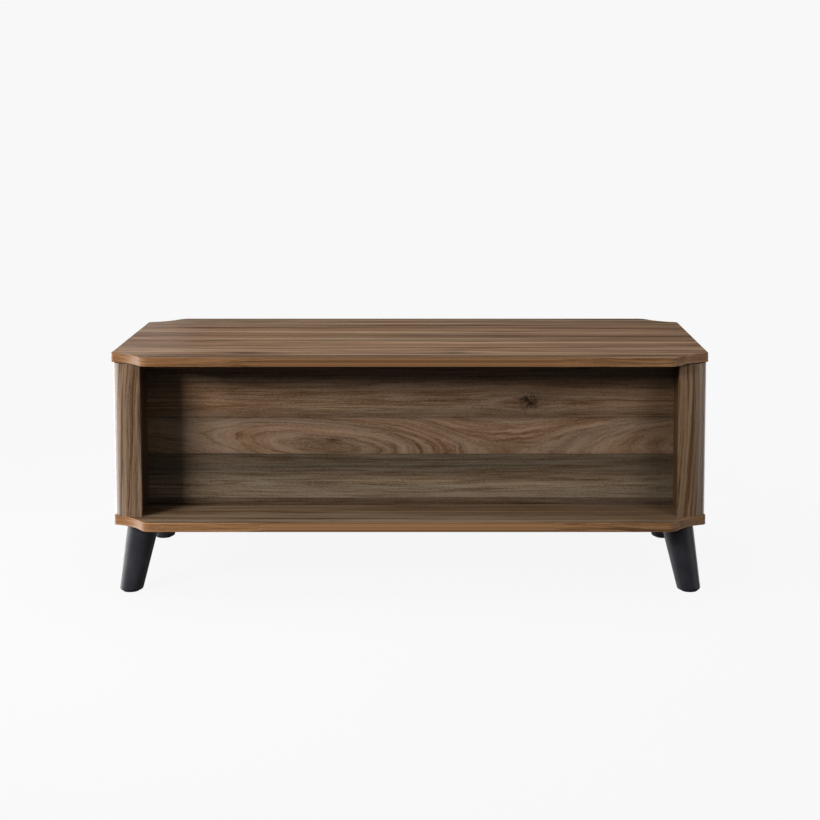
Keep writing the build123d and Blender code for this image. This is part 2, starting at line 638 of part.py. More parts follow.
def lift_spring():
    """A closed tube the size of the coils, with a wire hook and loop at each end."""
    front = Vector(SPRING_X, *CRANK_TIP)
    rear = Vector(SPRING_X, *SPRING_ANCHOR)
    along = (rear - front).normalized()
    shape = rod(
        tuple(front + along * SPRING_HOOK_LENGTH), tuple(rear - along * SPRING_HOOK_LENGTH),
        SPRING_RADIUS)
    for end, inwards in ((front, along), (rear, along * -1)):
        shape += rod(
            tuple(end + inwards * SPRING_LOOP_RADIUS),
            tuple(end + inwards * (SPRING_HOOK_LENGTH + 1)), SPRING_WIRE_RADIUS)
        loop_plane = Plane(origin=tuple(end), z_dir=(1, 0, 0))
        shape += loop_plane * Torus(SPRING_LOOP_RADIUS, SPRING_WIRE_RADIUS)
    return shape


add_pair("lift_spring", lift_spring())

# ---------------------------------------------------------------- rubber bumpers under the lid

SIDE_BUMPER_YS = (-150.0, 150.0)
PARTITION_BUMPER_XS = (-220.0, 220.0)
bumper_spots = [
    (side * INNER_SIDE_MIDDLE_X, y) for side in (-1, 1) for y in SIDE_BUMPER_YS
] + [(x, PARTITION_MIDDLE_Y) for x in PARTITION_BUMPER_XS]
add("lid_bumpers", [
    Pos(x, y, CARCASS_TOP_Z)
    * Cylinder(BUMPER_RADIUS, LID_GAP - BUMPER_CLEARANCE, align=BOTTOM_MIN)
    for x, y in bumper_spots
])

os.makedirs("parts", exist_ok=True)
for name, shape in node_shapes.items():
    export_step(shape, "parts/" + name + ".step")
print(len(node_shapes), "nodes written")
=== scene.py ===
"""The lift-top coffee table's looks: procedural finishes, springs, studio light and camera.

Metres, in the CAD model's own frame: +X along the table, +Y to the back, +Z up, the floor at 0.
"""

import math

import bpy
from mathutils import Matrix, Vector


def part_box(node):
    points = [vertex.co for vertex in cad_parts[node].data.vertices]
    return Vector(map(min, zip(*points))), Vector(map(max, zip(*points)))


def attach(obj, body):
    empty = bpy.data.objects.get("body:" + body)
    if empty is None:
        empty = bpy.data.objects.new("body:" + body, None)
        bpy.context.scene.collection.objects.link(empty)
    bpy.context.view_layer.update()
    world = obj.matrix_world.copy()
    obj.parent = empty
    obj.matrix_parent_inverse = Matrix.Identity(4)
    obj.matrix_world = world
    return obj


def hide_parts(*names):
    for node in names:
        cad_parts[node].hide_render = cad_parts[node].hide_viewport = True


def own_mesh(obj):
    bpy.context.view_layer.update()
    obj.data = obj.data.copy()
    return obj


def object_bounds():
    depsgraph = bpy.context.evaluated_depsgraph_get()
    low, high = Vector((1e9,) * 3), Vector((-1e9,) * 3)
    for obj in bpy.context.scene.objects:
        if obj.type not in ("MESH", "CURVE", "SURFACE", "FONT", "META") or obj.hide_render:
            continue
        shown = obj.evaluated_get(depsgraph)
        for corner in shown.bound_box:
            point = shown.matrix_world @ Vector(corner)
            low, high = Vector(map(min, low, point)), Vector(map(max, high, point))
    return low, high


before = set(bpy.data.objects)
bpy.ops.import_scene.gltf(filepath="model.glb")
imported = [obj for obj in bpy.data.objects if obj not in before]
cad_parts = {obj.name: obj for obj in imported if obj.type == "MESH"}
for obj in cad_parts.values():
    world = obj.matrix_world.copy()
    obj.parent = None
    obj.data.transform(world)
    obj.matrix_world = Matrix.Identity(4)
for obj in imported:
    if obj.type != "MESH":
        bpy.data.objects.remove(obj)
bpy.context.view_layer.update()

SIDES = ("left", "right")
CORNERS = ("front_left", "front_right", "back_left", "back_right")

# ---------------------------------------------------------------- places read from the frame


def middle(node):
    """The middle of a CAD node's box at rest."""
    return sum(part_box(node), Vector()) / 2


TABLE_LOW, TABLE_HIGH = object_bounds()
PARTITION_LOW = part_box("partition")[0]
TABLETOP_MIDDLE_Z = middle("tabletop").z
FRONT_Y = TABLE_LOW.y
TOP_Z = TABLE_HIGH.z


# ---------------------------------------------------------------- a small kit for shader nodes


class Shader:
    """Builds one material's nodes; every method returns the socket that it makes."""

    def __init__(self, name):
        self.material = bpy.data.materials.new(name)
        self.material.use_nodes = True
        self.nodes = self.material.node_tree.nodes
        self.links = self.material.node_tree.links
        self.surface = self.nodes["Principled BSDF"]
        self.place = self.nodes.new("ShaderNodeTexCoord").outputs["Object"]
        self.x, self.y, self.z = self.split(self.place)

    def feed(self, socket, value):
        """Links another socket to this one, or sets this one's own value."""
        if isinstance(value, bpy.types.NodeSocket):
            self.links.new(value, socket)
        else:
            socket.default_value = value

    def split(self, vector):
        node = self.nodes.new("ShaderNodeSeparateXYZ")
        self.feed(node.inputs[0], vector)
        return node.outputs

    def join(self, x, y, z):
        node = self.nodes.new("ShaderNodeCombineXYZ")
        for socket, value in zip(node.inputs, (x, y, z)):
            self.feed(socket, value)
        return node.outputs[0]

    def math(self, operation, first, second=0.0):
        node = self.nodes.new("ShaderNodeMath")
        node.operation = operation
        for socket, value in zip(node.inputs, (first, second)):
            self.feed(socket, value)
        return node.outputs[0]

    def add(self, first, second):
        return self.math("ADD", first, second)

    def subtract(self, first, second):
        return self.math("SUBTRACT", first, second)

    def multiply(self, first, second):
        return self.math("MULTIPLY", first, second)

    def noise(self, vector, scale=1.0, detail=2.0, roughness=0.5):
        node = self.nodes.new("ShaderNodeTexNoise")
        for name, value in (("Vector", vector), ("Scale", scale), ("Detail", detail),
                            ("Roughness", roughness)):
            self.feed(node.inputs[name], value)
        return node.outputs[0]

    def ramp(self, value, stops, interpolation="LINEAR"):
        """A colour or grey ramp from (position, value) stops."""
        node = self.nodes.new("ShaderNodeValToRGB")
        node.color_ramp.interpolation = interpolation
        elements = node.color_ramp.elements
        while len(elements) < len(stops):
            elements.new(0.5)
        for element, (position, colour) in zip(elements, stops):
            element.position = position
            grey = isinstance(colour, (int, float))
            element.color = (colour, colour, colour, 1.0) if grey else (*colour, 1.0)
        self.feed(node.inputs[0], value)
        return node.outputs[0]

    def rescale(self, value, low, high, new_low=0.0, new_high=1.0):
        """Maps low..high to new_low..new_high with soft ends, clamped."""
        node = self.nodes.new("ShaderNodeMapRange")
        node.interpolation_type = "SMOOTHSTEP"
        for name, number in (("Value", value), ("From Min", low), ("From Max", high),
                             ("To Min", new_low), ("To Max", new_high)):
            self.feed(node.inputs[name], number)
        return node.outputs[0]

    def mix(self, factor, first, second, blend="MIX"):
        node = self.nodes.new("ShaderNodeMix")
        node.data_type = "RGBA"
        node.blend_type = blend
        self.feed(node.inputs[0], factor)
        for socket, colour in ((node.inputs[6], first), (node.inputs[7], second)):
            is_colour = isinstance(colour, tuple) and len(colour) == 3
            self.feed(socket, (*colour, 1.0) if is_colour else colour)
        return node.outputs[2]

    def bump(self, height, strength, distance):
        node = self.nodes.new("ShaderNodeBump")
        self.feed(node.inputs["Height"], height)
        self.feed(node.inputs["Strength"], strength)
        self.feed(node.inputs["Distance"], distance)
        self.links.new(node.outputs[0], self.surface.inputs["Normal"])

    def set(self, **values):
        """Sets the shader's own sockets; an underscore in a name stands for a space."""
        for name, value in values.items():
            socket = self.surface.inputs[name.replace("_", " ")]
            if isinstance(value, tuple) and len(value) == 3:
                value = (*value, 1.0)
            self.feed(socket, value)


# ---------------------------------------------------------------- walnut

WALNUT = ((0.054, 0.026, 0.012), (0.106, 0.061, 0.034), (0.132, 0.081, 0.049), (0.150, 0.094, 0.058),
          (0.194, 0.127, 0.083))
WALNUT_STOPS = (0.02, 0.34, 0.50, 0.64, 1.0)
EDGE_WALNUT = ((0.062, 0.029, 0.013), (0.122, 0.062, 0.028), (0.155, 0.080, 0.037), (0.184, 0.098, 0.047),
               (0.250, 0.140, 0.072))
PINE = ((0.30, 0.19, 0.09), (0.46, 0.31, 0.16), (0.53, 0.37, 0.20), (0.58, 0.41, 0.23), (0.68, 0.50, 0.30))
BEECH = ((0.34, 0.21, 0.12), (0.48, 0.32, 0.19), (0.53, 0.37, 0.23), (0.58, 0.41, 0.26), (0.66, 0.49, 0.33))
JOINT_COLOUR = (0.016, 0.009, 0.005)
COOL_TINT = (0.97, 1.01, 1.02)
WARM_TINT = (1.04, 1.00, 0.93)

# The tone of walnut before its streaks, on the stops' scale.
MIDDLE_TONE = 0.48
# Streaks in walnut, coarse to fine: how many a metre across the grain, how many along, strength.
WALL_STREAKS = ((34.0, 1.0, 0.32), (115.0, 2.4, 0.60), (310.0, 9.0, 0.88), (900.0, 30.0, 0.60))
TOP_STREAKS = ((22.0, 0.5, 0.25), (50.0, 1.0, 1.20), (85.0, 1.6, 1.75), (420.0, 9.0, 1.10))
WRAP_STREAKS = ((45.0, 1.0, 0.30), (150.0, 1.8, 1.30), (360.0, 4.0, 1.90), (900.0, 30.0, 0.70))
BAND_STREAKS = ((50.0, 1.2, 0.40), (170.0, 3.0, 0.60), (420.0, 9.0, 0.90), (900.0, 30.0, 0.60))
# Thin dark ring lines: how many a metre across the grain, how many along, depth of tone.
RING_LINES = ((38.0, 0.8, 0.42), (90.0, 1.6, 0.38))
# How near the heart of the log the cut of an arched board lies between its humps.
CUT_TO_HEART = 0.004
# How far the planks' own grains are shifted apart along the boards, at most.
PLANK_SHIFT = 3.0
JOINT_LINE_STRENGTH = 0.7


def arch_field(s, along, across, centre, *humps):
    """The distance to the heart of the log, on the face of a board sawn from it.

    The heart runs along the board at a height, centre. The cut lies close to it except at humps,
    each given by its place, its depth and its lengths before and after that place. The rings
    close in nested arches on both sides of a hump, and round an eye between two humps.
    """
    cut = CUT_TO_HEART
    for at, depth, length_before, length_after in humps:
        before, after = 1.0 / length_before, 1.0 / length_after
        away = s.subtract(along, at)
        past = s.math("GREATER_THAN", away, 0.0)
        away = s.multiply(away, s.add(before, s.multiply(past, after - before)))
        hump = s.math("EXPONENT", s.multiply(s.multiply(away, away), -1.0))
        cut = s.add(cut, s.multiply(hump, depth))
    rise = s.subtract(across, centre)
    return s.math("SQRT", s.add(s.multiply(cut, cut), s.multiply(rise, rise)))


def spot(s, du, dv):
    """1 at the middle of a place, falling smoothly to 0 over a distance of about 1."""
    return s.math("EXPONENT", s.multiply(s.add(s.multiply(du, du), s.multiply(dv, dv)), -1.0))


def knot(s, rings, along, across, centre, width, height, dark):
    """Bends the rings round a knot; also returns how dark the knot makes each place."""
    du = s.multiply(s.subtract(along, centre[0]), 1.0 / width)
    dv = s.multiply(s.subtract(across, centre[1]), 1.0 / height)
    pushed = spot(s, s.multiply(du, 0.22), s.multiply(dv, 0.55))
    bent = s.subtract(rings, s.multiply(s.multiply(dv, height * 0.72), pushed))
    crack = s.noise(s.join(s.multiply(du, 2.2), s.multiply(dv, 1.3), 0.0), detail=5.0, roughness=0.75)
    heart = s.multiply(spot(s, du, dv), s.rescale(crack, 0.42, 0.55))
    tails = s.noise(s.join(s.multiply(du, 0.5), s.multiply(dv, 3.0), 4.0), detail=3.0)
    tails = s.rescale(tails, 0.40, 0.62, 0.08, 0.50)
    halo = s.multiply(spot(s, s.multiply(du, 0.28), s.multiply(dv, 0.75)), tails)
    shade = s.multiply(s.add(heart, halo), dark)
    return bent, s.math("MINIMUM", shade, 1.0)


def walnut(s, along, across, through, rings, streaks, colours=WALNUT, seed=0.0, drift=0.010,
           zigzag=0.0008, fleck=0.35, lines=1.0):
    """Walnut laminate: growth rings, streaks, fibres and pores, in metres along the grain."""
    wander = s.noise(s.join(s.multiply(along, 2.6), s.multiply(across, 10.0), seed), detail=2.0)
    waver = s.noise(s.join(s.multiply(along, 42.0), s.multiply(across, 90.0), seed), detail=3.0)
    rings = s.add(rings, s.multiply(s.subtract(wander, 0.5), drift * 2.0))
    rings = s.add(rings, s.multiply(s.subtract(waver, 0.5), s.multiply(zigzag, 2.0)))

    tone = MIDDLE_TONE
    for index, (per_metre, along_rate, strength) in enumerate(streaks):
        place = s.join(s.multiply(rings, per_metre), s.multiply(along, along_rate), seed + 3.1 * index)
        streak = s.subtract(s.noise(place, detail=1.0, roughness=0.6), 0.5)
        tone = s.add(tone, s.multiply(streak, strength))

    for index, (per_metre, along_rate, depth) in enumerate(RING_LINES):
        place = s.join(s.multiply(rings, per_metre), s.multiply(along, along_rate), seed + 11.3 + index)
        level = s.math("ABSOLUTE", s.subtract(s.noise(place, detail=1.0), 0.5))
        line = s.rescale(level, 0.0, 0.030, 1.0, 0.0)
        patches = s.join(s.multiply(along, 5.0), s.multiply(across, 36.0), seed + 17.0 + index)
        broken = s.rescale(s.noise(patches, detail=1.0), 0.38, 0.62)
        tone = s.subtract(tone, s.multiply(s.multiply(line, broken), depth * lines))

    flecks = s.noise(s.join(s.multiply(along, 190.0), s.multiply(across, 420.0), seed), detail=1.0)
    tone = s.add(tone, s.multiply(s.subtract(flecks, 0.5), fleck))
    fibre_place = s.join(s.multiply(along, 30.0), s.multiply(across, 1100.0), s.multiply(through, 1100.0))
    fibres = s.noise(fibre_place, detail=2.0, roughness=0.6)
    pore_place = s.join(s.multiply(along, 80.0), s.multiply(across, 1500.0), s.multiply(through, 1500.0))
    pores = s.rescale(s.noise(pore_place, detail=1.0), 0.60, 0.72)
    tone = s.add(tone, s.multiply(s.subtract(fibres, 0.5), 0.40))
    tone = s.subtract(tone, s.multiply(pores, 0.20))
    colour = s.ramp(tone, list(zip(WALNUT_STOPS, colours)))

    hue = s.noise(s.join(s.multiply(along, 2.0), s.multiply(rings, 60.0), seed + 9.0), detail=3.0)
    warm = s.rescale(hue, 0.38, 0.62)
    tinted = s.mix(warm, COOL_TINT, WARM_TINT)
    colour = s.mix(1.0, colour, tinted, "MULTIPLY")
    return colour, fibres, pores


def finish_walnut(s, grain, roughness=0.42, bump=0.10, specular=0.30, duller=None):
    """A satin laminate over the grain: rougher in the pores, and by as much again as duller says."""
    colour, fibres, pores = grain
    gloss = s.add(roughness - 0.04, s.multiply(fibres, 0.08))
    gloss = s.add(gloss, s.multiply(pores, 0.10))
    if duller is not None:
        gloss = s.add(gloss, duller)
    s.set(Base_Color=colour, Roughness=gloss, Specular_IOR_Level=specular)
    height = s.subtract(s.multiply(fibres, 0.5), s.multiply(pores, 0.9))
    s.bump(height, bump, 0.0004)
    return s.material


def plank_steps(s, across, edges):
    """Cuts a face into planks at the given edges: the plank's number, counted from 0."""
    number = 0.0
    for edge in edges:
        number = s.add(number, s.math("GREATER_THAN", across, edge))
    return number


def plank_offset(s, number, seed):
    """A repeatable random number from 0 to 1 for each plank."""
    node = s.nodes.new("ShaderNodeTexWhiteNoise")
    node.noise_dimensions = "1D"
    s.feed(node.inputs["W"], s.add(s.multiply(number, 1.37), seed))
    return node.outputs["Value"]


def joint_lines(s, across, edges, width=0.0006):
    """Thin dark lines where planks meet: 1 on a joint, 0 elsewhere."""
    total = 0.0
    for edge in edges:
        near = s.math("ABSOLUTE", s.subtract(across, edge))
        total = s.add(total, s.rescale(near, width * 0.4, width * 1.6, 1.0, 0.0))
    return s.math("MINIMUM", total, 1.0)


def soft_bands(s, across, stops):
    """Broad lighter and darker bands over a face, from (place, tone) stops in metres."""
    low, high = stops[0][0], stops[-1][0]
    place = s.multiply(s.subtract(across, low), 1.0 / (high - low))
    return s.ramp(place, [((position - low) / (high - low), tone) for position, tone in stops])


def planked_walnut(s, along, across, through, edges, tints, bands, rings, streaks, seed=0.0, **looks):
    """Walnut planks side by side, each with its own tint, and a joint line between."""
    number = plank_steps(s, across, edges)
    moved = s.add(along, s.multiply(plank_offset(s, number, seed), PLANK_SHIFT))
    colour, fibres, pores = walnut(s, moved, across, through, rings, streaks, seed=seed, **looks)
    count = len(edges) + 1.0
    plank_tint = s.ramp(
        s.math("DIVIDE", s.add(number, 0.5), count),
        [(index / count, tint) for index, tint in enumerate(tints)], "CONSTANT")
    colour = s.mix(1.0, colour, plank_tint, "MULTIPLY")
    sway = s.noise(s.join(s.multiply(moved, 3.0), s.multiply(across, 20.0), seed + 5.0), detail=2.0)
    swayed = s.add(across, s.multiply(s.subtract(sway, 0.5), 0.010))
    colour = s.mix(1.0, colour, soft_bands(s, swayed, bands), "MULTIPLY")
    joints = s.multiply(joint_lines(s, across, edges), JOINT_LINE_STRENGTH)
    return s.mix(joints, colour, JOINT_COLOUR), fibres, pores


def darken(s, grain, *shades):
    """Darkens a grain's colour where each shade is 1, as a knot does."""
    colour, fibres, pores = grain
    for shade in shades:
        colour = s.mix(shade, colour, JOINT_COLOUR)
    return colour, fibres, pores


# ---------------------------------------------------------------- materials, one function each


def scaled(colours, *factors):
    """The same set of colours with each channel multiplied by its own factor."""
    return tuple(tuple(c * f for c, f in zip(colour, factors)) for colour in colours)


PLAIN = (1.0, 1.0, 1.0)
PALE_PLANK = (1.00, 1.02, 1.05)
RED_PLANK = (1.04, 0.99, 0.96)
OLIVE_PLANK = (0.98, 1.08, 1.12)


def material_top_face():
    """The top: straight-grained planks with two small knots, and a dull backing underneath."""
    s = Shader("walnut_top_face")
    edges = (-0.218, -0.121, -0.062, -0.013, 0.046, 0.082, 0.162)
    tints = (RED_PLANK, PALE_PLANK, RED_PLANK, PLAIN, RED_PLANK, PALE_PLANK, RED_PLANK, PALE_PLANK)
    bands = ((-0.250, 0.92), (-0.232, 0.76), (-0.219, 0.80), (-0.216, 1.10), (-0.185, 1.06), (-0.150, 1.10),
             (-0.138, 0.98), (-0.130, 1.12), (-0.122, 1.02), (-0.118, 0.76), (-0.104, 0.70), (-0.096, 0.90),
             (-0.082, 1.08), (-0.066, 1.10), (-0.060, 0.94), (-0.046, 0.78), (-0.034, 0.86), (-0.020, 1.02),
             (-0.010, 0.86), (0.008, 0.72), (0.030, 0.76), (0.044, 0.84), (0.050, 1.06), (0.076, 1.12),
             (0.084, 0.92), (0.115, 0.88), (0.128, 0.80), (0.150, 0.74), (0.162, 0.86), (0.180, 0.98),
             (0.198, 0.84), (0.250, 0.80))
    rings = s.y
    shades = []
    for place in ((-0.291, -0.196), (0.080, -0.192)):
        rings, shade = knot(s, rings, s.x, s.y, place, 0.020, 0.011, 0.75)
        shades.append(shade)
    grain = planked_walnut(s, s.x, s.y, s.z, edges, tints, bands, rings, TOP_STREAKS, seed=2.0,
                           drift=0.006, fleck=0.20, colours=scaled(WALNUT, 1.19, 1.18, 1.15))
    underneath = s.math("LESS_THAN", s.z, TABLETOP_MIDDLE_Z)
    return finish_walnut(s, darken(s, grain, *shades), roughness=0.42, duller=s.multiply(underneath, 0.45))


def material_bottom_face():
    """The bottom panel: the same planks, cut from other boards."""
    s = Shader("walnut_bottom_face")
    edges = (-0.223, -0.178, -0.141, -0.070, 0.004, 0.067, 0.139, 0.203)
    tints = (PALE_PLANK, PLAIN, RED_PLANK, PALE_PLANK, PLAIN, OLIVE_PLANK, RED_PLANK, PLAIN, PALE_PLANK)
    bands = ((-0.250, 1.00), (-0.200, 0.88), (-0.150, 1.05), (-0.100, 0.90), (0.0, 1.00), (0.100, 0.88),
             (0.180, 1.04), (0.250, 0.90))
    grain = planked_walnut(s, s.x, s.y, s.z, edges, tints, bands, s.y, TOP_STREAKS, seed=5.0,
                           drift=0.006, colours=scaled(WALNUT, 1.17, 1.26, 1.28))
    return finish_walnut(s, grain, roughness=0.44)


def material_edge_band(name, seed, colours):
    """The bands: warmer walnut, its grain running round the panel."""
    s = Shader(name)
    turn = s.math("MAXIMUM", s.math("MINIMUM", s.multiply(s.x, 4.0), 1.0), -1.0)
    along = s.add(s.x, s.multiply(s.y, turn))
    slope = s.noise(s.join(s.multiply(along, 2.0), 0.0, seed))
    rings = s.add(s.z, s.multiply(slope, 0.03))
    grain = walnut(s, along, s.z, 0.0, rings, BAND_STREAKS, colours=colours, seed=seed)
    return finish_walnut(s, grain, roughness=0.44)


def material_partition(name, seed, arch_at, knot_at):
    """The shelf's rear wall: straight planks below, nested arches and a knot above."""
    s = Shader(name)
    joint = 0.232
    edges = (0.151, joint, 0.300)
    tints = (PLAIN, OLIVE_PLANK, RED_PLANK, (1.03, 0.98, 0.94))
    # The first stops darken the wall towards its foot, down to 0.42 where it meets the shelf floor: painted
    # shade in that corner.
    bands = ((0.139, 0.42), (0.150, 0.58), (0.152, 0.95), (0.160, 0.96), (0.168, 0.90), (0.173, 1.06),
             (0.180, 1.12), (0.186, 0.92), (0.192, 0.76), (0.200, 0.64), (0.208, 0.56), (0.231, 0.50),
             (0.233, 0.88), (0.240, 1.03), (0.288, 1.04), (0.296, 0.86), (0.302, 0.72), (0.310, 0.76),
             (0.318, 1.04), (0.332, 1.14), (0.390, 1.10))
    bow = s.subtract(s.x, arch_at)
    centre = s.add(s.multiply(s.multiply(bow, bow), 0.12), joint + 0.004)
    humps = ((arch_at, 0.060, 0.19, 0.33), (arch_at - 0.55, 0.034, 0.60, 0.15))
    arches = arch_field(s, s.x, s.z, centre, *humps)
    arched = s.subtract(s.math("GREATER_THAN", s.z, joint), s.math("GREATER_THAN", s.z, edges[2]))
    rings = s.add(s.multiply(arches, arched), s.multiply(s.z, s.subtract(1.0, arched)))
    shades = []
    eye = (arch_at - 0.285, joint + 0.026)
    for place, width, height, dark in ((knot_at, 0.016, 0.014, 1.00), (eye, 0.011, 0.003, 0.55)):
        rings, shade = knot(s, rings, s.x, s.z, place, width, height, dark)
        shades.append(shade)
    grain = planked_walnut(s, s.x, s.z, s.y, edges, tints, bands, rings, WALL_STREAKS, seed=seed,
                           drift=0.008, zigzag=s.add(0.0006, s.multiply(arched, 0.0016)), fleck=0.55,
                           lines=0.60, colours=scaled(WALNUT, 1.10, 1.19, 1.30))
    return finish_walnut(s, darken(s, grain, *shades), roughness=0.48, specular=0.20)


def material_wrap(name, side, seed, factors):
    """A side wrap: upright grain that runs on round the corners, arched on the flat side."""
    s = Shader(name)
    across = s.add(s.multiply(s.x, side), s.y)
    arches = arch_field(s, s.z, across, 0.548, (0.335, 0.050, 0.27, 0.12))
    rings = s.add(arches, s.multiply(s.z, 0.045 * side))
    # factors scale the colours; for the left wrap they hold painted light and sheen.
    grain = walnut(s, s.z, across, 0.0, rings, WRAP_STREAKS, seed=seed, drift=0.008, zigzag=0.0012,
                   colours=scaled(WALNUT, *factors))
    return finish_walnut(s, grain, roughness=0.38, specular=0.55)


def material_inner_side(name, seed):
    """An inner side board: upright grain on a flat face."""
    s = Shader(name)
    rings = arch_field(s, s.z, s.y, -0.02, (0.30, 0.04, 0.20, 0.20))
    # Its colours are darkened to about half and made yellower: painted shade for the inside of the shelf's
    # recess.
    grain = walnut(s, s.z, s.y, s.x, rings, WRAP_STREAKS, seed=seed,
                   colours=scaled(WALNUT, 0.50, 0.47, 0.36))
    return finish_walnut(s, grain, roughness=0.46)


def material_raw_wood(name, colours, axes, seed):
    """Bare or stained wood for the battens and dowels; axes run along, across and through."""
    s = Shader(name)
    along, across, through = (getattr(s, axis) for axis in axes)
    grain = walnut(s, along, across, through, across, BAND_STREAKS, colours=colours, seed=seed)
    return finish_walnut(s, grain, roughness=0.62, bump=0.35)


def material_black_lacquer():
    """Satin black lacquer on turned legs: a faint grain telegraphs through the coat."""
    s = Shader("black_lacquer")
    grain = s.noise(s.join(s.multiply(s.x, 420.0), s.multiply(s.y, 420.0), s.multiply(s.z, 28.0)),
                    detail=3.0, roughness=0.6)
    peel = s.noise(s.place, scale=260.0, detail=2.0)
    dust = s.noise(s.place, scale=34.0, detail=3.0)
    colour = s.mix(s.rescale(dust, 0.35, 0.75), (0.0215, 0.0215, 0.0265), (0.0300, 0.0300, 0.0365))
    s.set(Base_Color=colour, Roughness=s.add(0.42, s.multiply(peel, 0.10)), Specular_IOR_Level=0.38)
    s.bump(s.add(s.multiply(grain, 0.6), s.multiply(peel, 0.4)), 0.10, 0.0005)
    return s.material


def material_powder_coat():
    """Fine-textured black powder coat on the steel plates."""
    s = Shader("black_powder_coat")
    grit = s.noise(s.place, scale=1900.0, detail=2.0)
    wear = s.noise(s.place, scale=46.0, detail=4.0)
    colour = s.mix(s.rescale(wear, 0.55, 0.80), (0.020, 0.020, 0.022), (0.034, 0.034, 0.036))
    s.set(Base_Color=colour, Roughness=s.add(0.46, s.multiply(grit, 0.16)))
    s.bump(grit, 0.30, 0.0003)
    return s.material


def material_zinc(name, colour, roughness):
    """Plated or cast metal with fine turning marks and a mottled dullness."""
    s = Shader(name)
    mottle = s.noise(s.place, scale=130.0, detail=4.0)
    marks = s.noise(s.join(s.multiply(s.x, 260.0), s.multiply(s.y, 2600.0), s.multiply(s.z, 2600.0)))
    darker = tuple(channel * 0.72 for channel in colour)
    s.set(Base_Color=s.mix(s.rescale(mottle, 0.35, 0.70), darker, colour), Metallic=1.0)
    s.set(Roughness=s.add(roughness - 0.05, s.multiply(mottle, 0.18)))
    s.bump(marks, 0.12, 0.0002)
    return s.material


def material_moulded(name, colour, roughness):
    """Moulded nylon or rubber: a slight spark-eroded texture."""
    s = Shader(name)
    texture = s.noise(s.place, scale=1500.0, detail=2.0)
    cloud = s.noise(s.place, scale=60.0, detail=2.0)
    lighter = tuple(channel * 1.5 + 0.004 for channel in colour)
    s.set(Base_Color=s.mix(cloud, colour, lighter))
    s.set(Roughness=s.add(roughness - 0.06, s.multiply(texture, 0.12)))
    s.bump(texture, 0.20, 0.0002)
    return s.material


def dress(node, material):
    """Gives a CAD node its material."""
    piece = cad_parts[node]
    piece.data.materials.clear()
    piece.data.materials.append(material)


# Colour factors for each wrap. The left wrap's factors are lighter and bluer than the right's: painted
# light and a painted sheen from the left, on the same walnut.
WRAP_TINTS_WITH_PAINTED_LIGHT = {"left": (1.22, 1.27, 1.36), "right": (1.00, 1.00, 0.96)}

dress("tabletop", material_top_face())
dress("bottom_panel", material_bottom_face())
dress("tabletop_edge_band",
      material_edge_band("walnut_top_band", 1.0, scaled(EDGE_WALNUT, 1.11, 1.06, 1.00)))
# The bottom band's colours are lightened about half as much again as the top band's: painted light standing
# in for light bounced up from the pale floor.
dress("bottom_edge_band",
      material_edge_band("walnut_bottom_band", 4.0, scaled(EDGE_WALNUT, 1.63, 1.60, 1.58)))
dress("partition", material_partition("walnut_partition", 3.0, 0.15, (0.216, 0.329)))
dress("back_panel", material_partition("walnut_back", 8.0, -0.12, (-0.30, 0.345)))
for side_index, side_name in zip((-1, 1), SIDES):
    dress("side_wrap_" + side_name,
          material_wrap("walnut_wrap_" + side_name, side_index, 6.0 + side_index, WRAP_TINTS_WITH_PAINTED_LIGHT[side_name]))
    dress("inner_side_" + side_name, material_inner_side("walnut_inner_" + side_name, 14.0 + side_index))

pine = material_raw_wood("sawn_pine", PINE, "yzx", 21.0)
stained_pine = material_raw_wood("stained_pine", scaled(PINE, 0.25, 0.215, 0.24), "yzx", 22.0)
for side_name in SIDES:
    dress("side_batten_upper_" + side_name, stained_pine)
    dress("side_batten_lower_" + side_name, pine)
dress("dowels", material_raw_wood("turned_beech", BEECH, "zxy", 23.0))

lacquer = material_black_lacquer()
powder_coat = material_powder_coat()
nylon = material_moulded("black_nylon", (0.022, 0.022, 0.023), 0.42)
rubber = material_moulded("black_rubber", (0.014, 0.014, 0.014), 0.80)
zinc = material_zinc("zinc_plate", (0.62, 0.61, 0.58), 0.32)
cast_zinc = material_zinc("cast_zinc", (0.46, 0.46, 0.45), 0.50)
spring_wire = material_zinc("spring_wire", (0.50, 0.50, 0.51), 0.26)

for corner in CORNERS:
    dress("leg_" + corner, lacquer)
    dress("leg_plate_" + corner, powder_coat)
    dress("foot_glide_" + corner, nylon)
for part in ("base_bracket_", "main_arm_", "rear_arm_", "top_bracket_"):
    for side_name in SIDES:
        dress(part + side_name, powder_coat)
dress("sync_bar", powder_coat)
for group in ("spring_anchor_studs", "spring_crank_pins", "lower_pivot_pins", "upper_main_pivot_pins",
              "upper_rear_pivot_pins", "limit_stop_pins", "base_bracket_screws",
              "top_bracket_screws", "base_screws", "leg_plate_screws", "leg_hanger_bolts",
              "cam_bolts"):
    dress(group, zinc)
dress("cam_locks", cast_zinc)
for side_name in SIDES:
    dress("lift_spring_" + side_name, spring_wire)
dress("lower_pivot_bushes", nylon)
dress("upper_pivot_bushes", nylon)
dress("lid_bumpers", rubber)

# ---------------------------------------------------------------- lift springs

WIRE_RADIUS = 0.0014
COIL_RADIUS = 0.0066
LOOP_RADIUS = 0.0054
LOOP_DEGREES = range(40, 331, 15)
HOOK_LENGTH = 0.0175
NECK_SHARES = (0.50, 0.64, 0.78)
RISE_START = 0.80
RISE_STEPS = 7
RISE_DEGREES = 120.0
COIL_TURNS = 48
STEPS_PER_TURN = 18
# The body that the springs are attached to.
BODY_OF_SPRINGS = "carcass"


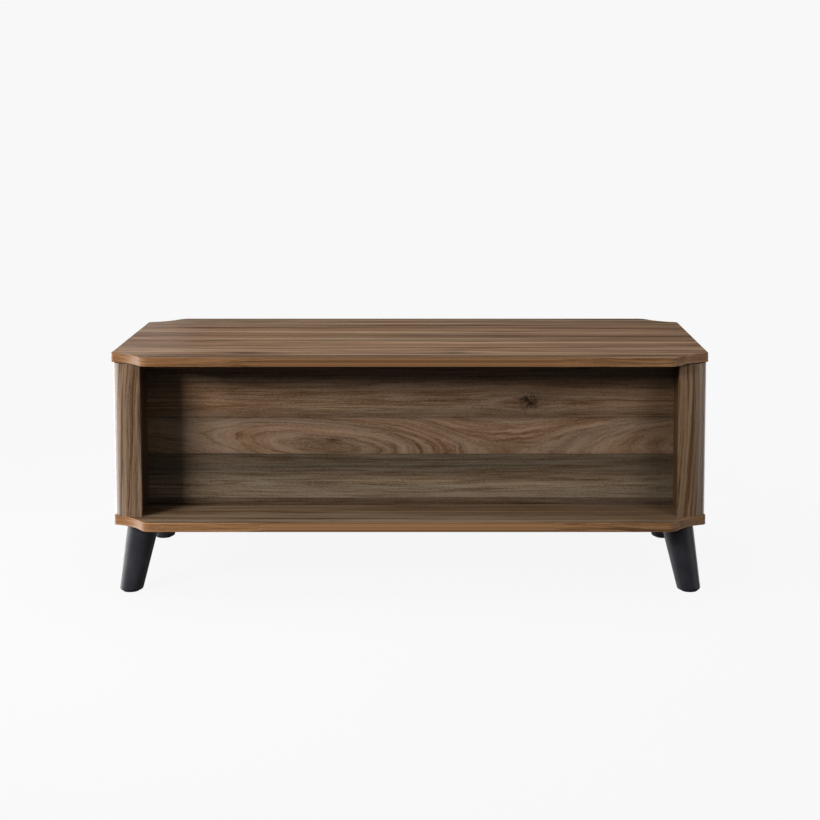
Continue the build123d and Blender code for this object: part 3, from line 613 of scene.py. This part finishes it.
def sweep(name, path, radius, sides=8):
    """A round wire along a path, closed at both ends, with a frame carried without twist."""
    points = [Vector(point) for point in path]
    last = len(points) - 1
    vertices, faces = [], []
    across = None
    for index, point in enumerate(points):
        ahead = (points[min(index + 1, last)] - points[max(index - 1, 0)]).normalized()
        if across is None:
            across = ahead.orthogonal()
        across = (across - ahead * across.dot(ahead)).normalized()
        up = ahead.cross(across)
        for side in range(sides):
            angle = math.tau * side / sides
            vertices.append(point + (across * math.cos(angle) + up * math.sin(angle)) * radius)
    for index in range(last):
        for side in range(sides):
            here = index * sides + side
            beside = index * sides + (side + 1) % sides
            faces.append((here, beside, beside + sides, here + sides))
    faces.append(tuple(reversed(range(sides))))
    faces.append(tuple(range(last * sides, (last + 1) * sides)))
    mesh = bpy.data.meshes.new(name)
    mesh.from_pydata([tuple(vertex) for vertex in vertices], [], faces)
    mesh.polygons.foreach_set("use_smooth", [True] * len(faces))
    mesh.update()
    piece = bpy.data.objects.new(name, mesh)
    bpy.context.collection.objects.link(piece)
    return piece


def hook_path(length):
    """A hook round a pin at 0 and its wire out to the first coil, as (along, up, sideways)."""
    loop = [
        (LOOP_RADIUS * math.cos(angle), LOOP_RADIUS * math.sin(angle), 0.0)
        for angle in (math.radians(degree) for degree in LOOP_DEGREES)
    ]
    neck = [(length * share, 0.0, 0.0) for share in NECK_SHARES]
    rise = []
    for step in range(1, RISE_STEPS):
        share = step / RISE_STEPS
        along = length * (RISE_START + (1.0 - RISE_START) * share)
        turn = math.radians(RISE_DEGREES * (share - 1.0))
        reach = COIL_RADIUS * share
        rise.append((along, reach * math.cos(turn), reach * math.sin(turn)))
    return loop + neck + rise


def spring_path(length):
    """A whole extension spring from pin to pin: hook, coils, hook."""
    coil_length = length - 2 * HOOK_LENGTH
    steps = COIL_TURNS * STEPS_PER_TURN
    coils = []
    for step in range(steps + 1):
        angle = math.tau * step / STEPS_PER_TURN
        coils.append((HOOK_LENGTH + coil_length * step / steps,
                      COIL_RADIUS * math.cos(angle), COIL_RADIUS * math.sin(angle)))
    front = hook_path(HOOK_LENGTH)
    rear = [(length - along, up, -sideways) for along, up, sideways in reversed(front)]
    return front + coils + rear


def make_springs(material):
    """The two springs that carry the top's weight, from the crank pins to the anchor studs."""
    pins = [middle(node) for node in ("spring_crank_pins", "spring_anchor_studs")]
    for side in SIDES:
        node = "lift_spring_" + side
        plane_x = middle(node).x
        front, rear = (Vector((plane_x, pin.y, pin.z)) for pin in pins)
        along = (rear - front).normalized()
        sideways = Vector((1.0, 0.0, 0.0))
        up = sideways.cross(along)
        path = [
            front + along * a + up * b + sideways * c
            for a, b, c in spring_path((rear - front).length)
        ]
        piece = sweep("coil_spring_" + side, path, WIRE_RADIUS)
        piece.data.materials.append(material)
        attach(piece, BODY_OF_SPRINGS)
        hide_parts(node)
        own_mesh(piece)


make_springs(spring_wire)

# ---------------------------------------------------------------- floor, world and lights

FLOOR_RADIUS = 12.0
FLOOR_SIDES = 96
# The floor's own glow: its share near the table, its share far from it, and where each begins.
GLOW_NEAR, GLOW_FAR = 0.97, 1.0
GLOW_NEAR_RADIUS, GLOW_FAR_RADIUS = 0.7, 1.6
PALE = (0.939, 0.939, 0.943)
ROOM_LIGHT = 0.078


def make_floor():
    """A pale floor that glows to the backdrop's own tone and takes a faint shadow by the feet."""
    mesh = bpy.data.meshes.new("floor")
    turns = [math.tau * side / FLOOR_SIDES for side in range(FLOOR_SIDES)]
    rim = [(FLOOR_RADIUS * math.cos(turn), FLOOR_RADIUS * math.sin(turn), 0.0) for turn in turns]
    mesh.from_pydata(rim, [], [range(FLOOR_SIDES)])
    floor = bpy.data.objects.new("floor", mesh)
    bpy.context.collection.objects.link(floor)
    s = Shader("pale_floor")
    distance = s.math("SQRT", s.add(s.multiply(s.x, s.x), s.multiply(s.y, s.y)))
    glow_share = s.rescale(distance, GLOW_NEAR_RADIUS, GLOW_FAR_RADIUS, GLOW_NEAR, GLOW_FAR)
    s.set(Base_Color=(0.85, 0.85, 0.85), Roughness=0.9, Specular_IOR_Level=0.0)
    glow = s.nodes.new("ShaderNodeEmission")
    s.feed(glow.inputs["Color"], (*PALE, 1.0))
    shadowed = s.nodes.new("ShaderNodeMixShader")
    s.feed(shadowed.inputs[0], glow_share)
    s.links.new(s.surface.outputs[0], shadowed.inputs[1])
    s.links.new(glow.outputs[0], shadowed.inputs[2])
    s.links.new(shadowed.outputs[0], s.nodes["Material Output"].inputs[0])
    mesh.materials.append(s.material)
    floor.visible_diffuse = False
    floor.visible_glossy = False
    floor.visible_shadow = False


def make_world(ambient):
    """A pale backdrop for the camera and a dim one for the light that reaches the table."""
    world = bpy.data.worlds.new("studio")
    world.use_nodes = True
    bpy.context.scene.world = world
    nodes, links = world.node_tree.nodes, world.node_tree.links
    backdrop = nodes["Background"]
    backdrop.inputs["Color"].default_value = (*PALE, 1.0)
    room = nodes.new("ShaderNodeBackground")
    room.inputs["Color"].default_value = (1.0, 1.0, 1.0, 1.0)
    room.inputs["Strength"].default_value = ambient
    seen = nodes.new("ShaderNodeLightPath")
    choose = nodes.new("ShaderNodeMixShader")
    links.new(seen.outputs["Is Camera Ray"], choose.inputs[0])
    links.new(room.outputs[0], choose.inputs[1])
    links.new(backdrop.outputs[0], choose.inputs[2])
    links.new(choose.outputs[0], nodes["World Output"].inputs[0])


def softbox(name, target, azimuth, elevation, distance, width, height, power, spread=180.0,
            mirrored=True):
    """A rectangular light round a target: azimuth 0 is in front, positive to the right."""
    light = bpy.data.lights.new(name, "AREA")
    light.shape = "RECTANGLE"
    light.size = width
    light.size_y = height
    light.energy = power
    light.spread = math.radians(spread)
    obj = bpy.data.objects.new(name, light)
    bpy.context.collection.objects.link(obj)
    a, e = math.radians(azimuth), math.radians(elevation)
    away = Vector((math.sin(a) * math.cos(e), -math.cos(a) * math.cos(e), math.sin(e)))
    obj.location = Vector(target) + away * distance
    obj.rotation_euler = (-away).to_track_quat("-Z", "Y").to_euler()
    obj.visible_camera = False
    obj.visible_glossy = mirrored


SHELF_UPPER_Z = 0.355
# The side lights reach below the floor, so that little of them is mirrored in the top.
SIDE_LIGHTS_Z = -0.1
SHELF_LEFT = (PARTITION_LOW.x, PARTITION_LOW.y, SHELF_UPPER_Z)
SHELF_RIGHT = (0.30, PARTITION_LOW.y, SHELF_UPPER_Z)
LEFT_SIDE = (TABLE_LOW.x, 0.0, SIDE_LIGHTS_Z)
RIGHT_SIDE = (TABLE_HIGH.x, 0.0, SIDE_LIGHTS_Z)
make_floor()
make_world(ROOM_LIGHT)
softbox("key", SHELF_LEFT, -41.5, 20.2, 2.0, 0.72, 0.42, 61.5, mirrored=False)
softbox("fill", SHELF_RIGHT, 34.0, 25.2, 1.5, 0.80, 0.40, 0.95, spread=40.0, mirrored=False)
softbox("overhead", (-0.55, 0.0, TOP_Z), 0.0, 88.0, 2.2, 2.6, 1.8, 83.0)
softbox("left_side", LEFT_SIDE, -102.0, 0.0, 2.0, 1.6, 1.3, 30.0)
softbox("left_back", LEFT_SIDE, -152.0, 0.0, 2.0, 1.6, 1.3, 44.0)
softbox("right_side", RIGHT_SIDE, 78.0, 4.0, 2.2, 1.2, 1.3, 7.0)
softbox("right_back", RIGHT_SIDE, 142.0, 0.0, 2.2, 1.2, 1.3, 10.0)

# ---------------------------------------------------------------- camera

CAMERA_X = 0.051
CAMERA_FROM_FRONT = 2.8788
CAMERA_HEIGHT = 0.8906
CAMERA_PITCH = 5.3
LENS = 74.08
SENSOR_WIDTH = 36.0
SHIFT = (-0.035, -0.20)
FARTHEST_SEEN = 60.0

camera_data = bpy.data.cameras.new("camera")
camera_data.lens = LENS
camera_data.sensor_width = SENSOR_WIDTH
camera_data.shift_x, camera_data.shift_y = SHIFT
camera_data.clip_end = FARTHEST_SEEN
camera = bpy.data.objects.new("camera", camera_data)
bpy.context.collection.objects.link(camera)
camera.location = (CAMERA_X, FRONT_Y - CAMERA_FROM_FRONT, CAMERA_HEIGHT)
camera.rotation_euler = (math.radians(90.0 - CAMERA_PITCH), 0.0, 0.0)
bpy.context.scene.camera = camera

view_settings = bpy.context.scene.view_settings
view_settings.view_transform = "Standard"
view_settings.look = "None"
